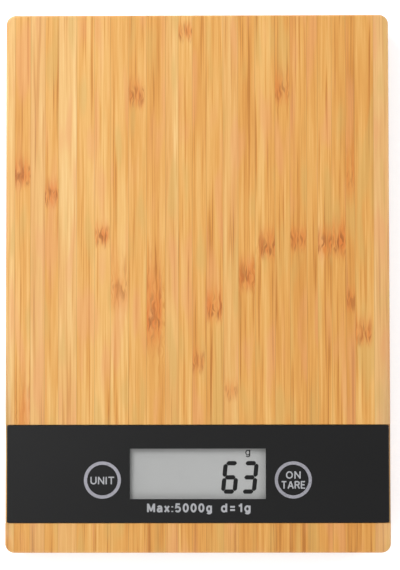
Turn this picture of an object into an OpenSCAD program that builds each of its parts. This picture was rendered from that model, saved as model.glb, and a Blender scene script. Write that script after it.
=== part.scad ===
// Slim digital kitchen scale: a bamboo board that weighs, with a black display
// panel let into it, carried on one beam load cell above a moulded base.
// Millimetres. Z is up, the feet stand on Z = 0, and the display is at the
// front, which is -Y. The origin is under the middle of the board.

/* [Board] */
// Width of the bamboo board, side to side
board_w = 164; // [160:1:190]
// Length of the bamboo board, front to back
board_l = 230; // [228:1:260]
// Thickness of the bamboo board
board_t = 13; // [13:0.5:16]
// Radius of the board's upright corners
corner_r = 4; // [2.5:0.5:10]
// Radius of the board's eased top and bottom edges
edge_r = 1; // [0.5:0.1:2]

/* [Display] */
// Length of the black panel, front to back
panel_l = 41.4; // [41:0.1:46]
// Thickness of the black panel
panel_t = 1.8; // [1.6:0.1:2]
// How far the panel's face lies below the bamboo's
panel_sink = 0.1; // [0.05:0.05:0.3]
// Bamboo left in front of the panel
front_strip = 12.8; // [12:0.1:16]
// Width of the opening over the display
window_w = 57.8; // [48:0.2:58]
// Length of the opening over the display
window_l = 21.4; // [16:0.2:22]

/* [Buttons] */
// Distance of each button from the middle of the panel
button_x = 40.6; // [40.4:0.2:42]
// How far the buttons lie in front of the panel's middle line
button_drop = 2.6; // [0:0.2:4]
// Outer diameter of the silver ring round each button
ring_d = 15.8; // [14:0.2:16]
// Width of the silver band
ring_band = 1.4; // [0.8:0.1:1.8]
// Travel of each button
button_travel = 0.3; // [0.2:0.05:0.35]

/* [Weighing] */
// Place of the load cell's middle, front to back
cell_y = 8; // [4:1:10]
// Travel of the platform, down to its overload stops
platform_travel = 0.5; // [0.3:0.05:0.5]

/* [Base] */
// How far the base's edge lies inside the board's
base_inset = 6; // [5:0.5:8]
// Height of the feet below the base
foot_stand = 1.2; // [1:0.1:2]
// Diameter of each rubber foot
foot_d = 15; // [10:0.5:16]
// Distance of each foot's middle from the base's two nearest edges
foot_inset = 12; // [11:0.5:20]

/* [Hidden] */

$fn = 64;
cut = 0.5;         // how far a cutter runs past the face it cuts
slip = 0.1;        // clearance round a piece that slides or drops into place

// Heights, from the table up
base_z = foot_stand;
base_t = 2;
base_top = base_z + base_t;
rim_top = base_top + 2;
board_z = rim_top + 0.8;
board_top = board_z + board_t;
skin_t = 4;
ceiling = board_top - skin_t;

// Pocket routed into the underside of the board
pocket_w = board_w - 30;
pocket_l = board_l - 29;
pocket_r = 5;

// Display panel
panel_y = -board_l / 2 + front_strip + panel_l / 2;
panel_w = board_w - 1.4;
tape_t = 0.2;
panel_top = board_top - panel_sink;
panel_z = panel_top - panel_t;
groove_z = panel_z - tape_t;
groove_gap = 0.25;
opening_w = 120;
opening_l = 36;
lens_t = 1;
lens_w = window_w + 3.2;
lens_l = window_l + 3.2;

// Main circuit board, hung from posts under the panel
pcb_w = 116;
pcb_l = 32;
pcb_t = 1.2;
pcb_top = panel_z - 6.2;
pcb_z = pcb_top - pcb_t;
post_x = 54;
post_y = 12.5;
post_r = 2.3;
pilot_r = 0.9;

// Display glass
glass_w = 61;
glass_l = 25;
glass_t = 1.1;
ledge = 2.6;
front_film_t = 0.2;
rear_film_t = 0.3;
glass_top = panel_z - 0.5;
glass_mid = glass_top - glass_t;
glass_z = glass_mid - glass_t;
film_w = 60;
film_l = 24;
frame_wall = 0.7;

// Buttons and their switches
button_y = panel_y - button_drop;
ring_r = ring_d / 2;
bore_r = ring_r - ring_band;
ring_t = 0.8;
cap_r = bore_r - slip;
flange_r = bore_r + 0.8;
flange_t = 0.8;
flange_top = panel_z - slip;
plunger_r = 2;
stem_r = 1.7;
stem_top = pcb_top + 4.3;
housing = 6;
housing_t = 3.4;

// Load cell and the plates that it joins
cell_l = 47;
cell_w = 12;
cell_t = 6;
cell_holes = [13, 20];
cell_screw_r = 1.5;
spacer_t = 1;
plate_t = 1.5;
plate_w = 76;
plate_l = 84;
plate_y = 12;
plate_z = ceiling - plate_t;
cell_z = plate_z - spacer_t - cell_t;
pad_top = cell_z - spacer_t;
wood_screw_places = [for (x = [-32, 32]) for (y = [-36, 0, 36]) [x, plate_y + y]];

// Battery box, for two AAA cells lying side to side
aaa_r = 5.25;
aaa_l = 44.5;
box_y = 75;
box_in_l = 50;
box_in_w = 21.9;
box_wall = 1.2;
box_roof = 0.8;
box_w = box_in_l + 2 * box_wall;
box_l = box_in_w + 2 * box_wall;
aaa_z = ceiling - box_roof - 0.05 - aaa_r;
aaa_pitch = 10.7;
contact_t = 0.4;
box_ear = [6.6, 5];
box_screw_places = [for (x = [-1, 1]) for (y = [-9, 9]) [x * (box_w / 2 + 3.2), box_y + y]];
tail_z = aaa_z + 3.2;

// Battery door
door_w = 56;
door_l = 27;
door_t = 1.5;
door_z = base_z + 0.4;
door_back = box_y + 13.5;
door_front = door_back - door_l;
hinge_y = door_back - 1.1;
hinge_z = door_z + door_t / 2;
hinge_pin_r = 0.65;
hinge_bore_r = 0.7;
door_hole_w = 62;
door_hole_l = 30;
seat_z = base_top + 0.7;

// Base
base_w = board_w - 2 * base_inset;
base_l = board_l - 2 * base_inset;
base_r = 6;
base_wall = 1.6;
rib_t = 1.4;
rib_top = base_top + 1.6;
foot_sink = 1;
foot_x = base_w / 2 - foot_inset;
foot_y = base_l / 2 - foot_inset;
stop_x = base_w / 2 - 4.5;
stop_y = base_l / 2 - 5;
stop_r = 2.6;
stop_gap = 0.05;

// Wires: places they pass through, and their size
wire_r = 0.5;
battery_red_route = [
  [-28.46, 80.35, 12.5], [-34, 80, 12.6], [-43, 75, 13.6], [-47, 62, 14.4], [-47.6, 30, 14.4],
  [-47.2, 0, 14.4], [-47.6, -30, 14.4], [-48.6, -48, 13.6], [-49.6, -59, 10.3],
  [-50, -65, 9.15], [-50, -69.96, 9.15]
];
battery_black_route = [
  [-28.46, 69.65, 12.5], [-33, 69.4, 12.6], [-40, 66, 13.6], [-44.6, 55, 14.4], [-45.8, 28, 14.4],
  [-45.4, 0, 14.4], [-45.8, -30, 14.4], [-46, -47, 13.6], [-46, -58, 10.3],
  [-46, -65, 9.15], [-46, -69.96, 9.15]
];
cell_wire_r = 0.4;
cell_wire_gap = 1.1;
cell_turn = [-7.6, 4];
solder_y = -70;
solder_x = concat([for (k = [0:3]) -24 + 3 * k], [-50, -46]);
tape_places = [[-46.5, 40], [-46.4, -14]];

// ---------- shared shapes ----------

// Rectangle with round corners, centred
module rounded_rect(w, l, r) {
  square([w - 2 * r, l], center = true);
  square([w, l - 2 * r], center = true);
  for (x = [-1, 1]) for (y = [-1, 1])
    translate([x * (w / 2 - r), y * (l / 2 - r)]) circle(r);
}

// Flat plate with upright corners of radius r, standing on z
module plate(w, l, r, t, z = 0) {
  translate([0, 0, z]) linear_extrude(t) rounded_rect(w, l, r);
}

// Section of a slab from its middle out to x, with edges of radius e
module eased_half(x, t, e) {
  square([x - e, t]);
  translate([0, e]) square([x, t - 2 * e]);
  for (z = [e, t - e]) translate([x - e, z]) circle(e);
}

// Slab with upright corners of radius r and edges eased to radius e
module eased_slab(w, l, r, t, e) {
  for (side = [0, 1]) mirror([side, 0, 0]) translate([0, l / 2 - r, 0])
    rotate([90, 0, 0]) linear_extrude(l - 2 * r) eased_half(w / 2, t, e);
  for (side = [0, 1]) mirror([0, side, 0]) translate([-w / 2 + r, 0, 0])
    rotate([90, 0, 90]) linear_extrude(w - 2 * r) eased_half(l / 2, t, e);
  for (x = [-1, 1]) for (y = [-1, 1])
    translate([x * (w / 2 - r), y * (l / 2 - r), 0]) rotate_extrude() eased_half(r, t, e);
}

// Box given by its two corners
module block(low, high) {
  translate(low) cube(high - low);
}

// Cross recess for a screw head, cutting up from z = 0
module cross_recess(size, depth) {
  for (turn = [0, 90]) rotate(turn)
    translate([-size / 2, -size / 7, -cut]) cube([size, size / 3.5, depth + cut]);
}

// Pan-head screw, head at the bottom, point up
module pan_screw(head_r, head_t, shank_r, length) {
  difference() {
    union() {
      cylinder(r1 = head_r * 0.8, r2 = head_r, h = head_t * 0.4);
      translate([0, 0, head_t * 0.4]) cylinder(r = head_r, h = head_t * 0.6);
      translate([0, 0, head_t]) cylinder(r = shank_r, h = length - shank_r);
      translate([0, 0, head_t + length - shank_r])
        cylinder(r1 = shank_r, r2 = shank_r * 0.3, h = shank_r);
    }
    cross_recess(head_r * 1.1, head_t * 0.6);
  }
}

// Smooth line through the points p, with n steps between each two
function spline(a, b, c, d, t) =
  b + (c - a) * t / 2 + (2 * a - 5 * b + 4 * c - d) * t * t / 2 + (3 * b - a - 3 * c + d) * t * t * t / 2;
function smooth_path(p, n) = [
  for (i = [0:len(p) - 2]) for (k = [0:n - 1])
    spline(p[max(i - 1, 0)], p[i], p[i + 1], p[min(i + 2, len(p) - 1)], k / n),
  p[len(p) - 1]
];
function unit(v) = v / norm(v);
function heading(p, i) = unit(p[min(i + 1, len(p) - 1)] - p[max(i - 1, 0)]);

// Solid from rings of points, each ring with the same number of points
module skin(rings) {
  sides = len(rings[0]);
  last = len(rings) - 1;
  polyhedron(
    points = [for (ring = rings) each ring],
    faces = concat(
      [[for (k = [0:sides - 1]) k]],
      [for (i = [0:last - 1]) for (k = [0:sides - 1])
        let (a = i * sides, b = a + sides, next = (k + 1) % sides)
          [a + k, b + k, b + next, a + next]],
      [[for (k = [sides - 1:-1:0]) last * sides + k]]
    )
  );
}

// Round wire along a path that never runs straight up
module wire(path, r, sides = 8) {
  skin([for (i = [0:len(path) - 1])
    let (along = heading(path, i), side = unit(cross(along, [0, 0, 1])), up = cross(side, along))
      [for (k = [0:sides - 1])
        let (a = k * 360 / sides)
          path[i] + r * (cos(a) * side + sin(a) * up)]]);
}

// Coil spring along +X, narrowing from r1 to r2
module coil(r1, r2, length, turns, wire_r) {
  steps = turns * 16;
  sides = 6;
  skin([for (i = [0:steps])
    let (share = i / steps, a = share * turns * 360, out = [0, cos(a), sin(a)],
         x = wire_r + share * (length - 2 * wire_r), mid = [x, 0, 0] + (r1 + (r2 - r1) * share) * out)
      [for (k = [0:sides - 1])
        let (b = k * 360 / sides)
          mid + wire_r * (cos(b) * out + sin(b) * [1, 0, 0])]]);
}

// Draws its children once at each place in the list
module at(places) {
  for (place = places) translate(place) children();
}

// ---------- board and display panel ----------

module bamboo_board() {
  color("burlywood") difference() {
    translate([0, 0, board_z]) eased_slab(board_w, board_l, corner_r, board_t, edge_r);
    plate(pocket_w, pocket_l, pocket_r, ceiling - board_z + cut, board_z - cut);
    block([-board_w / 2 - cut, panel_y - panel_l / 2 - groove_gap, groove_z],
          [board_w / 2 + cut, panel_y + panel_l / 2 + groove_gap, board_top + cut]);
    translate([0, panel_y, 0]) plate(opening_w, opening_l, 3, skin_t, ceiling - cut);
    translate([0, 0, ceiling - cut]) at(concat(wood_screw_places, box_screw_places))
      cylinder(r = 1.3, h = cut + 3);
  }
}

module display_panel() {
  color([0.13, 0.13, 0.14]) difference() {
    union() {
      translate([0, panel_y, panel_z]) eased_slab(panel_w, panel_l, 0.6, panel_t, 0.25);
      for (x = [-1, 1]) for (y = [-1, 1]) translate([x * post_x, panel_y + y * post_y, pcb_top])
        cylinder(r = post_r, h = panel_z - pcb_top + 0.5);
    }
    block([-window_w / 2, panel_y - window_l / 2, panel_z - cut],
          [window_w / 2, panel_y + window_l / 2, panel_top + cut]);
    block([-lens_w / 2 - slip, panel_y - lens_l / 2 - slip, panel_z - cut],
          [lens_w / 2 + slip, panel_y + lens_l / 2 + slip, panel_z + lens_t]);
    for (x = [-1, 1]) translate([x * button_x, button_y, panel_z]) {
      translate([0, 0, -cut]) cylinder(r = bore_r, h = panel_t + 2 * cut);
      translate([0, 0, panel_t - ring_t]) cylinder(r = ring_r, h = ring_t + cut);
    }
    for (x = [-1, 1]) for (y = [-1, 1])
      translate([x * post_x, panel_y + y * post_y, pcb_top - cut]) cylinder(r = pilot_r, h = 5 + cut);
  }
}

module panel_tape() {
  color("gray") translate([0, panel_y, groove_z]) linear_extrude(tape_t) difference() {
    square([panel_w - 1, panel_l - 0.6], center = true);
    square([opening_w + 0.6, opening_l + 0.6], center = true);
  }
}

module display_window() {
  color([0.9, 0.92, 0.92, 0.4]) translate([0, panel_y, panel_z])
    block([-lens_w / 2, -lens_l / 2, 0], [lens_w / 2, lens_l / 2, lens_t]);
}

// Silver ring round a button, on the side given by -1 or 1
module button_ring(side) {
  color("silver") translate([side * button_x, button_y, panel_top - ring_t]) difference() {
    cylinder(r = ring_r - 0.02, h = ring_t);
    translate([0, 0, -cut]) cylinder(r = bore_r, h = ring_t + 2 * cut);
  }
}

module button_cap(side) {
  color([0.12, 0.12, 0.13]) translate([side * button_x, button_y, 0]) {
    translate([0, 0, flange_top]) cylinder(r = cap_r, h = panel_top - flange_top - 0.15);
    translate([0, 0, panel_top - 0.15]) cylinder(r1 = cap_r, r2 = cap_r - 0.15, h = 0.15);
    translate([0, 0, flange_top - flange_t]) cylinder(r = flange_r, h = flange_t);
    translate([0, 0, stem_top]) cylinder(r = plunger_r, h = flange_top - flange_t - stem_top + 0.2);
  }
}

module switch_stem(side) {
  color("ivory") translate([side * button_x, button_y, 0]) {
    translate([0, 0, pcb_top + 2.4]) cylinder(r = stem_r, h = stem_top - pcb_top - 2.4);
    translate([0, 0, pcb_top + 1.8]) cylinder(r = stem_r + 0.5, h = 0.6);
  }
}

module switch_housing(side) {
  color([0.15, 0.15, 0.15]) translate([side * button_x, button_y, pcb_top]) {
    difference() {
      translate([-housing / 2, -housing / 2, 0]) cube([housing, housing, housing_t]);
      translate([0, 0, 0.8]) cylinder(r = stem_r + 0.7, h = 2);
      cylinder(r = stem_r + 0.08, h = housing_t + cut);
      translate([0, 0, -cut]) cylinder(r = stem_r + 0.7, h = cut + 0.1);
    }
    cylinder(r = stem_r + 0.7, h = 0.8);
    for (x = [-1, 1]) for (y = [-1, 1])
      translate([x * 3.4 - 0.4, y * 2.2 - 0.35, 0]) cube([0.8, 0.7, 0.3]);
  }
}

// Snap dome under the stem: a shallow steel cap
module switch_dome(side) {
  color("silver") translate([side * button_x, button_y, pcb_top + 0.8]) rotate_extrude()
    polygon([[0, 0.85], [1.1, 0.7], [2.2, 0], [2.35, 0], [1.2, 0.82], [0, 1]]);
}

// ---------- display glass ----------

module lcd_layer(w, l, z, t) {
  translate([0, panel_y, 0]) block([-w / 2, -l / 2, z], [w / 2, l / 2, z + t]);
}

module lcd_front_polariser() {
  color([0.75, 0.76, 0.74, 0.5]) lcd_layer(film_w, film_l, glass_top, front_film_t);
}

module lcd_front_glass() {
  color([0.8, 0.85, 0.82, 0.4]) translate([0, panel_y, 0])
    block([-glass_w / 2, -glass_l / 2 - ledge, glass_mid], [glass_w / 2, glass_l / 2, glass_top]);
}

module lcd_rear_glass() {
  color([0.8, 0.85, 0.82, 0.4]) lcd_layer(glass_w, glass_l, glass_z, glass_t);
}

module lcd_reflector() {
  color([0.7, 0.7, 0.7]) lcd_layer(film_w, film_l, glass_z - rear_film_t, rear_film_t);
}

module lcd_frame() {
  shelf = glass_z - rear_film_t;
  seat_w = glass_w + 0.4;
  seat_l = glass_l + 0.4;
  color("white") translate([0, panel_y, 0]) difference() {
    block([-seat_w / 2 - frame_wall, -seat_l / 2 - ledge - frame_wall, pcb_top],
          [seat_w / 2 + frame_wall, seat_l / 2 + frame_wall, glass_top]);
    block([-seat_w / 2, -seat_l / 2 - ledge, shelf], [seat_w / 2, seat_l / 2, glass_top + cut]);
    block([-glass_w / 2 + 1, -glass_l / 2 + 1, pcb_top - cut], [glass_w / 2 - 1, glass_l / 2 - 1, shelf - 1]);
    block([-28.2, -glass_l / 2 - 2.35, pcb_top - cut], [28.2, -glass_l / 2 - 0.3, shelf + cut]);
  }
}

module zebra_strip() {
  color("hotpink") translate([0, panel_y, 0])
    block([-28, -glass_l / 2 - 2.25, pcb_top], [28, -glass_l / 2 - 0.4, glass_mid]);
}

// ---------- circuit board ----------

module main_board() {
  color("darkgreen") difference() {
    translate([0, panel_y, 0]) plate(pcb_w, pcb_l, 1.5, pcb_t, pcb_z);
    for (x = [-1, 1]) for (y = [-1, 1])
      translate([x * post_x, panel_y + y * post_y, pcb_z - cut]) cylinder(r = 1.1, h = pcb_t + 2 * cut);
  }
}

// Epoxy dome over the controller, on the underside
module controller_blob() {
  blob_r = 7;
  blob_t = 1.7;
  ball_r = (blob_r * blob_r + blob_t * blob_t) / (2 * blob_t);
  color([0.08, 0.08, 0.08]) intersection() {
    translate([6, panel_y + 1, pcb_z - blob_t + ball_r]) sphere(ball_r, $fn = 128);
    translate([6, panel_y + 1, pcb_z - blob_t - cut]) cylinder(r = blob_r + 1, h = blob_t + cut);
  }
}

module amplifier_chip() {
  color([0.1, 0.1, 0.1]) translate([-14, panel_y + 4, pcb_z]) {
    block([-5, -2, -1.5], [5, 2, -0.1]);
    for (k = [0:7]) for (side = [-1, 1])
      translate([-4.45 + k * 1.27, side * 2.5, -0.35]) cube([0.42, 1.1, 0.7], center = true);
  }
}

// Chip components, each one a small block with its length along X or Y
module chips(places, size) {
  for (place = places)
    translate([place[0], panel_y + place[1], pcb_z - size[2] / 2]) rotate(place[2]) cube(size, center = true);
}

module chip_capacitors() {
  color("tan") chips([for (k = [0:3]) [-24 + k * 4.5, -4, 90]], [2, 1.2, 0.9]);
  color("tan") chips([[19, 8, 0], [19, -7, 0], [-32, 8, 0]], [3.2, 1.6, 1.1]);
}

module chip_resistors() {
  color([0.12, 0.12, 0.14]) chips([for (k = [0:5]) [26 + k * 3.2, 2, 90]], [1.6, 0.8, 0.5]);
  color([0.12, 0.12, 0.14]) chips([[-6, -6, 0], [-6, -8.5, 0], [-6, 11, 0]], [1.6, 0.8, 0.5]);
}

// Solder on the pads where the wires end
module solder_joints() {
  color("silver") for (x = solder_x)
    block([x - 0.9, solder_y - 1.3, pcb_z - 0.9], [x + 0.9, solder_y, pcb_z]);
}

// Strips of tape that hold the battery wires to the board
module wire_tape() {
  color("khaki") for (place = tape_places) translate([place[0], place[1], 0]) difference() {
    block([-2.4, -4, ceiling - 1.3], [2.4, 4, ceiling]);
    block([-2.3, -4 - cut, ceiling - 1.2], [2.3, 4 + cut, ceiling + cut]);
  }
}

module main_board_screws() {
  color("silver") for (x = [-1, 1]) for (y = [-1, 1])
    translate([x * post_x, panel_y + y * post_y, pcb_z - 1.3]) pan_screw(1.9, 1.3, pilot_r - 0.02, 5.5);
}

// ---------- weighing ----------

module carrier_plate() {
  color("lightgray") difference() {
    translate([0, plate_y, 0]) plate(plate_w, plate_l, 6, plate_t, plate_z);
    at(wood_screw_places) translate([0, 0, plate_z - cut]) cylinder(r = 1.5, h = plate_t + 2 * cut);
    for (hole = cell_holes) translate([0, cell_y + hole, plate_z]) {
      translate([0, 0, -cut]) cylinder(r = 1.7, h = plate_t + cut);
      translate([0, 0, plate_t - 1.3]) cylinder(r1 = 1.7, r2 = 3, h = 1.3);
    }
    for (side = [-1, 1]) translate([side * 20, plate_y, 0])
      plate(14, 50, 5, plate_t + 2 * cut, plate_z - cut);
  }
}

module wood_screws() {
  color("silver") {
    translate([0, 0, plate_z - 1.6]) at(wood_screw_places) pan_screw(2.7, 1.6, 1.25, 4.3);
    translate([0, 0, plate_z - 1.6]) at(box_screw_places) pan_screw(2.7, 1.6, 1.25, 4.3);
  }
}

// Shim with two clearance holes, under or over one end of the load cell
module cell_shim(end, z) {
  difference() {
    translate([0, cell_y + end * 16.5, 0]) plate(cell_w, 14, 1, spacer_t, z);
    for (hole = cell_holes) translate([0, cell_y + end * hole, z - cut])
      cylinder(r = 1.7, h = spacer_t + 2 * cut);
  }
}

module upper_spacer() {
  color("gainsboro") cell_shim(1, plate_z - spacer_t);
}

module lower_spacer() {
  color("gainsboro") cell_shim(-1, pad_top);
}

module upper_cell_screws() {
  color("dimgray") for (hole = cell_holes)
    translate([0, cell_y + hole, ceiling]) rotate([180, 0, 0]) difference() {
      union() {
        cylinder(r1 = 2.9, r2 = cell_screw_r - 0.03, h = 1.3);
        cylinder(r = cell_screw_r - 0.03, h = 7.5);
      }
      cross_recess(2.6, 0.9);
    }
}

module lower_cell_screws() {
  color("dimgray") for (hole = cell_holes)
    translate([0, cell_y - hole, base_z + 0.3]) difference() {
      union() {
        cylinder(r = 2.8, h = 1.7);
        cylinder(r = cell_screw_r - 0.03, h = cell_z + cell_t - 1 - base_z - 0.3);
      }
      cross_recess(2.8, 1);
    }
}

// Beam with two threaded holes at each end and a pair of joined holes through its middle
module load_cell() {
  color("lightsteelblue") translate([0, cell_y, 0]) difference() {
    block([-cell_w / 2, -cell_l / 2, cell_z], [cell_w / 2, cell_l / 2, cell_z + cell_t]);
    for (hole = cell_holes) for (end = [-1, 1])
      translate([0, end * hole, cell_z - cut]) cylinder(r = cell_screw_r, h = cell_t + 2 * cut);
    for (end = [-1, 1]) translate([-cell_w / 2 - cut, end * 4.5, cell_z + cell_t / 2])
      rotate([0, 90, 0]) cylinder(r = 2.4, h = cell_w + 2 * cut);
    block([-cell_w / 2 - cut, -4.5, cell_z + 1.6], [cell_w / 2 + cut, 4.5, cell_z + cell_t - 1.6]);
  }
}

gauge_t = 0.1;
module strain_gauges() {
  color("goldenrod") for (end = [-1, 1]) {
    translate([-2.5, cell_y + end * 4.5 - 1.8, cell_z + cell_t]) cube([5, 3.6, gauge_t]);
    translate([-2.5, cell_y + end * 4.5 - 1.8, cell_z - gauge_t]) cube([5, 3.6, gauge_t]);
  }
}

// Soft sealant over the gauges, joined down one side of the beam
module gauge_sealant() {
  seal_t = 0.4;
  seal_l = 18;
  color("whitesmoke") difference() {
    translate([-0.35, cell_y, cell_z])
      block([-cell_w / 2, -seal_l / 2, -seal_t], [cell_w / 2, seal_l / 2, cell_t + seal_t]);
    block([-cell_w / 2, cell_y - seal_l, cell_z], [cell_w, cell_y + seal_l, cell_z + cell_t]);
    strain_gauges();
  }
}

// One of the four leads from the gauges to the circuit board, the outermost of the turn first
module cell_wire(k) {
  turn = 2 + (3 - k) * cell_wire_gap;
  x = cell_turn[0] - turn;
  y = cell_turn[1];
  under_plate = plate_z - cell_wire_r - 0.3;
  wire(smooth_path([
    [-cell_w / 2 - 0.5, y + turn, 9.5], [cell_turn[0], y + turn, 9.5],
    [cell_turn[0] - turn * 0.7, y + turn * 0.7, 9.8], [x, y, 10.6], [x, y - 12, under_plate],
    [x, -30, under_plate], [x - 0.8 * (3 - k), -46, under_plate], [solder_x[k], -59, 10.1],
    [solder_x[k], -65, 9.25], [solder_x[k], solder_y + 0.04, 9.25]
  ], 4), cell_wire_r);
}

module cell_wire_red() color("red") cell_wire(0);
module cell_wire_black() color([0.1, 0.1, 0.1]) cell_wire(1);
module cell_wire_green() color("green") cell_wire(2);
module cell_wire_white() color("white") cell_wire(3);

// ---------- batteries ----------

module battery_box() {
  color([0.16, 0.16, 0.17]) difference() {
    union() {
      translate([0, box_y, 0]) plate(box_w, box_l, 1, ceiling - seat_z, seat_z);
      translate([0, box_y, 0]) plate(door_w + 3.8, box_l, 1, box_wall, seat_z);
      at(box_screw_places) translate([-box_ear[0] / 2, -box_ear[1] / 2, plate_z])
        cube([box_ear[0], box_ear[1], plate_t]);
      for (side = [-1, 1]) translate([side * (door_w / 2 + 1.1), hinge_y, 0]) {
        translate([-0.8, -1.6, hinge_z]) cube([1.6, 3.2, seat_z + box_wall - hinge_z]);
        translate([-0.8, 0, hinge_z]) rotate([0, 90, 0]) cylinder(r = 1.6, h = 1.6);
      }
    }
    block([-box_in_l / 2, box_y - box_in_w / 2, seat_z - cut],
          [box_in_l / 2, box_y + box_in_w / 2, ceiling - box_roof]);
    at(box_screw_places) translate([0, 0, plate_z - cut]) cylinder(r = 1.5, h = plate_t + 2 * cut);
    translate([-door_w / 2 - 4, hinge_y, hinge_z])
      rotate([0, 90, 0]) cylinder(r = hinge_bore_r, h = door_w + 8);
    for (y = [-1, 1]) translate([-box_w / 2 - cut, box_y + y * aaa_pitch / 2 - 1.3, tail_z - 0.1])
      cube([box_wall + 2 * cut, 2.6, contact_t + 0.2]);
  }
}

// AAA cell: its contact stud points to -X, or to +X when turned round
module battery(y, turned) {
  color("orange") translate([0, y, aaa_z]) rotate([0, 0, turned ? 180 : 0])
    translate([-box_in_l / 2 + contact_t, 0, 0]) rotate([0, 90, 0]) {
      cylinder(r = 1.9, h = 1.2);
      translate([0, 0, 0.8]) cylinder(r1 = aaa_r - 0.5, r2 = aaa_r, h = 0.5);
      translate([0, 0, 1.3]) cylinder(r = aaa_r, h = aaa_l - 1.8);
      translate([0, 0, aaa_l - 0.5]) cylinder(r1 = aaa_r, r2 = aaa_r - 0.5, h = 0.5);
    }
}

module battery_rear() battery(box_y + aaa_pitch / 2, false);
module battery_front() battery(box_y - aaa_pitch / 2, true);

// Contact plate at the -X end of the box, with a tail through the wall
module contact(y) {
  color("silver") translate([-box_in_l / 2, y, 0]) {
    translate([0, -4.5, aaa_z - 4]) cube([contact_t, 9, 8]);
    translate([-3.4, -1, tail_z]) cube([3.6, 2, contact_t]);
  }
}

module positive_contact() contact(box_y + aaa_pitch / 2);
module negative_contact() contact(box_y - aaa_pitch / 2);

module bridge_contact() {
  color("silver") translate([box_in_l / 2 - contact_t, box_y - 10, aaa_z - 4]) cube([contact_t, 20, 8]);
}

spring_l = box_in_l - 2 * contact_t - aaa_l;
module negative_spring() {
  color("gainsboro") translate([-box_in_l / 2 + contact_t, box_y - aaa_pitch / 2, aaa_z])
    coil(3.6, 2.2, spring_l, 3.5, 0.28);
}

module bridge_spring() {
  color("gainsboro") translate([box_in_l / 2 - contact_t, box_y + aaa_pitch / 2, aaa_z]) mirror([1, 0, 0])
    coil(3.6, 2.2, spring_l, 3.5, 0.28);
}

module battery_wire_red() color("red") wire(smooth_path(battery_red_route, 4), wire_r);
module battery_wire_black() color([0.1, 0.1, 0.1]) wire(smooth_path(battery_black_route, 4), wire_r);

// Door, with two short pins at its back corners and a latch tongue at its front
module battery_door() {
  color([0.14, 0.14, 0.15]) difference() {
    union() {
      translate([0, door_back - door_l / 2, 0]) plate(door_w, door_l, 1, door_t, door_z);
      translate([-door_w / 2 - 1.8, hinge_y, hinge_z])
        rotate([0, 90, 0]) cylinder(r = hinge_pin_r, h = door_w + 3.6);
      block([-6, door_front, door_z + door_t - 0.1], [6, door_front + 0.9, seat_z + 1.6]);
    }
    for (side = [-1, 1]) translate([side * 7.2, door_front, 0])
      block([-0.4, -cut, door_z - cut], [0.4, 7, door_z + door_t + cut]);
    for (k = [0:2]) translate([0, door_front + 2 + 1.6 * k, door_z])
      block([-5, 0, -cut], [5, 0.8, 0.35]);
  }
}

// ---------- base ----------

module base_tray() {
  color([0.15, 0.15, 0.16]) difference() {
    union() {
      difference() {
        translate([0, 0, base_z]) eased_slab(base_w, base_l, base_r, rim_top - base_z, 0.6);
        plate(base_w - 2 * base_wall, base_l - 2 * base_wall, base_r - base_wall, rim_top, base_top);
      }
      for (x = [-1, 1]) for (y = [-1, 1]) translate([x * stop_x, y * stop_y, base_z + 1])
        cylinder(r = stop_r, h = board_z - platform_travel - stop_gap - base_z - 1);
      translate([0, cell_y - 16.5, 0]) plate(20, 20, 3, pad_top - base_z - 1, base_z + 1);
      for (x = [-40, 40])
        block([x - rib_t / 2, -base_l / 2 + 1, base_top - 0.5], [x + rib_t / 2, base_l / 2 - 1, rib_top]);
      for (y = [-70, cell_y - 16.5, 50])
        block([-base_w / 2 + 1, y - rib_t / 2, base_top - 0.5], [base_w / 2 - 1, y + rib_t / 2, rib_top]);
      block([-rib_t / 2, -base_l / 2 + 1, base_top - 0.5], [rib_t / 2, 50, rib_top]);
      translate([0, box_y, rib_top - 2])
        plate(door_hole_w + 2 * rib_t, door_hole_l + 2 * rib_t, 2 + rib_t, 2);
    }
    for (x = [-1, 1]) for (y = [-1, 1])
      translate([x * foot_x, y * foot_y, base_z - cut]) cylinder(r = foot_d / 2 + slip, h = foot_sink + cut);
    translate([0, box_y, 0]) plate(door_hole_w, door_hole_l, 2, rim_top, base_z - cut);
    for (hole = cell_holes) translate([0, cell_y - hole, base_z - cut]) {
      cylinder(r = 3, h = 2 + cut);
      cylinder(r = 1.7, h = 10);
    }
  }
}

// Rubber foot, at the corner given by -1 or 1 in x and y
module foot(x, y) {
  color([0.2, 0.2, 0.2]) translate([x * foot_x, y * foot_y, 0]) {
    cylinder(r1 = foot_d / 2 - 0.4, r2 = foot_d / 2, h = 0.4);
    translate([0, 0, 0.4]) cylinder(r = foot_d / 2, h = base_z + foot_sink - 0.4);
  }
}

bamboo_board();
display_panel();
panel_tape();
display_window();
button_ring(-1);  // unit_button_ring
button_ring(1);  // tare_button_ring
button_cap(-1);  // unit_button
button_cap(1);  // tare_button
switch_stem(-1);  // unit_switch_stem
switch_stem(1);  // tare_switch_stem
switch_housing(-1);  // unit_switch_housing
switch_housing(1);  // tare_switch_housing
switch_dome(-1);  // unit_switch_dome
switch_dome(1);  // tare_switch_dome
lcd_front_polariser();
lcd_front_glass();
lcd_rear_glass();
lcd_reflector();
lcd_frame();
zebra_strip();
main_board();
controller_blob();
amplifier_chip();
chip_capacitors();
chip_resistors();
solder_joints();
main_board_screws();
carrier_plate();
wood_screws();
upper_spacer();
upper_cell_screws();
load_cell();
strain_gauges();
gauge_sealant();
lower_spacer();
lower_cell_screws();
cell_wire_red();
cell_wire_black();
cell_wire_green();
cell_wire_white();
battery_box();
battery_rear();
battery_front();
positive_contact();
negative_contact();
bridge_contact();
negative_spring();
bridge_spring();
battery_wire_red();
battery_wire_black();
wire_tape();
battery_door();
base_tray();
foot(-1, -1);  // foot_front_left
foot(1, -1);  // foot_front_right
foot(-1, 1);  // foot_back_left
foot(1, 1);  // foot_back_right
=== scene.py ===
import math

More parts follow.
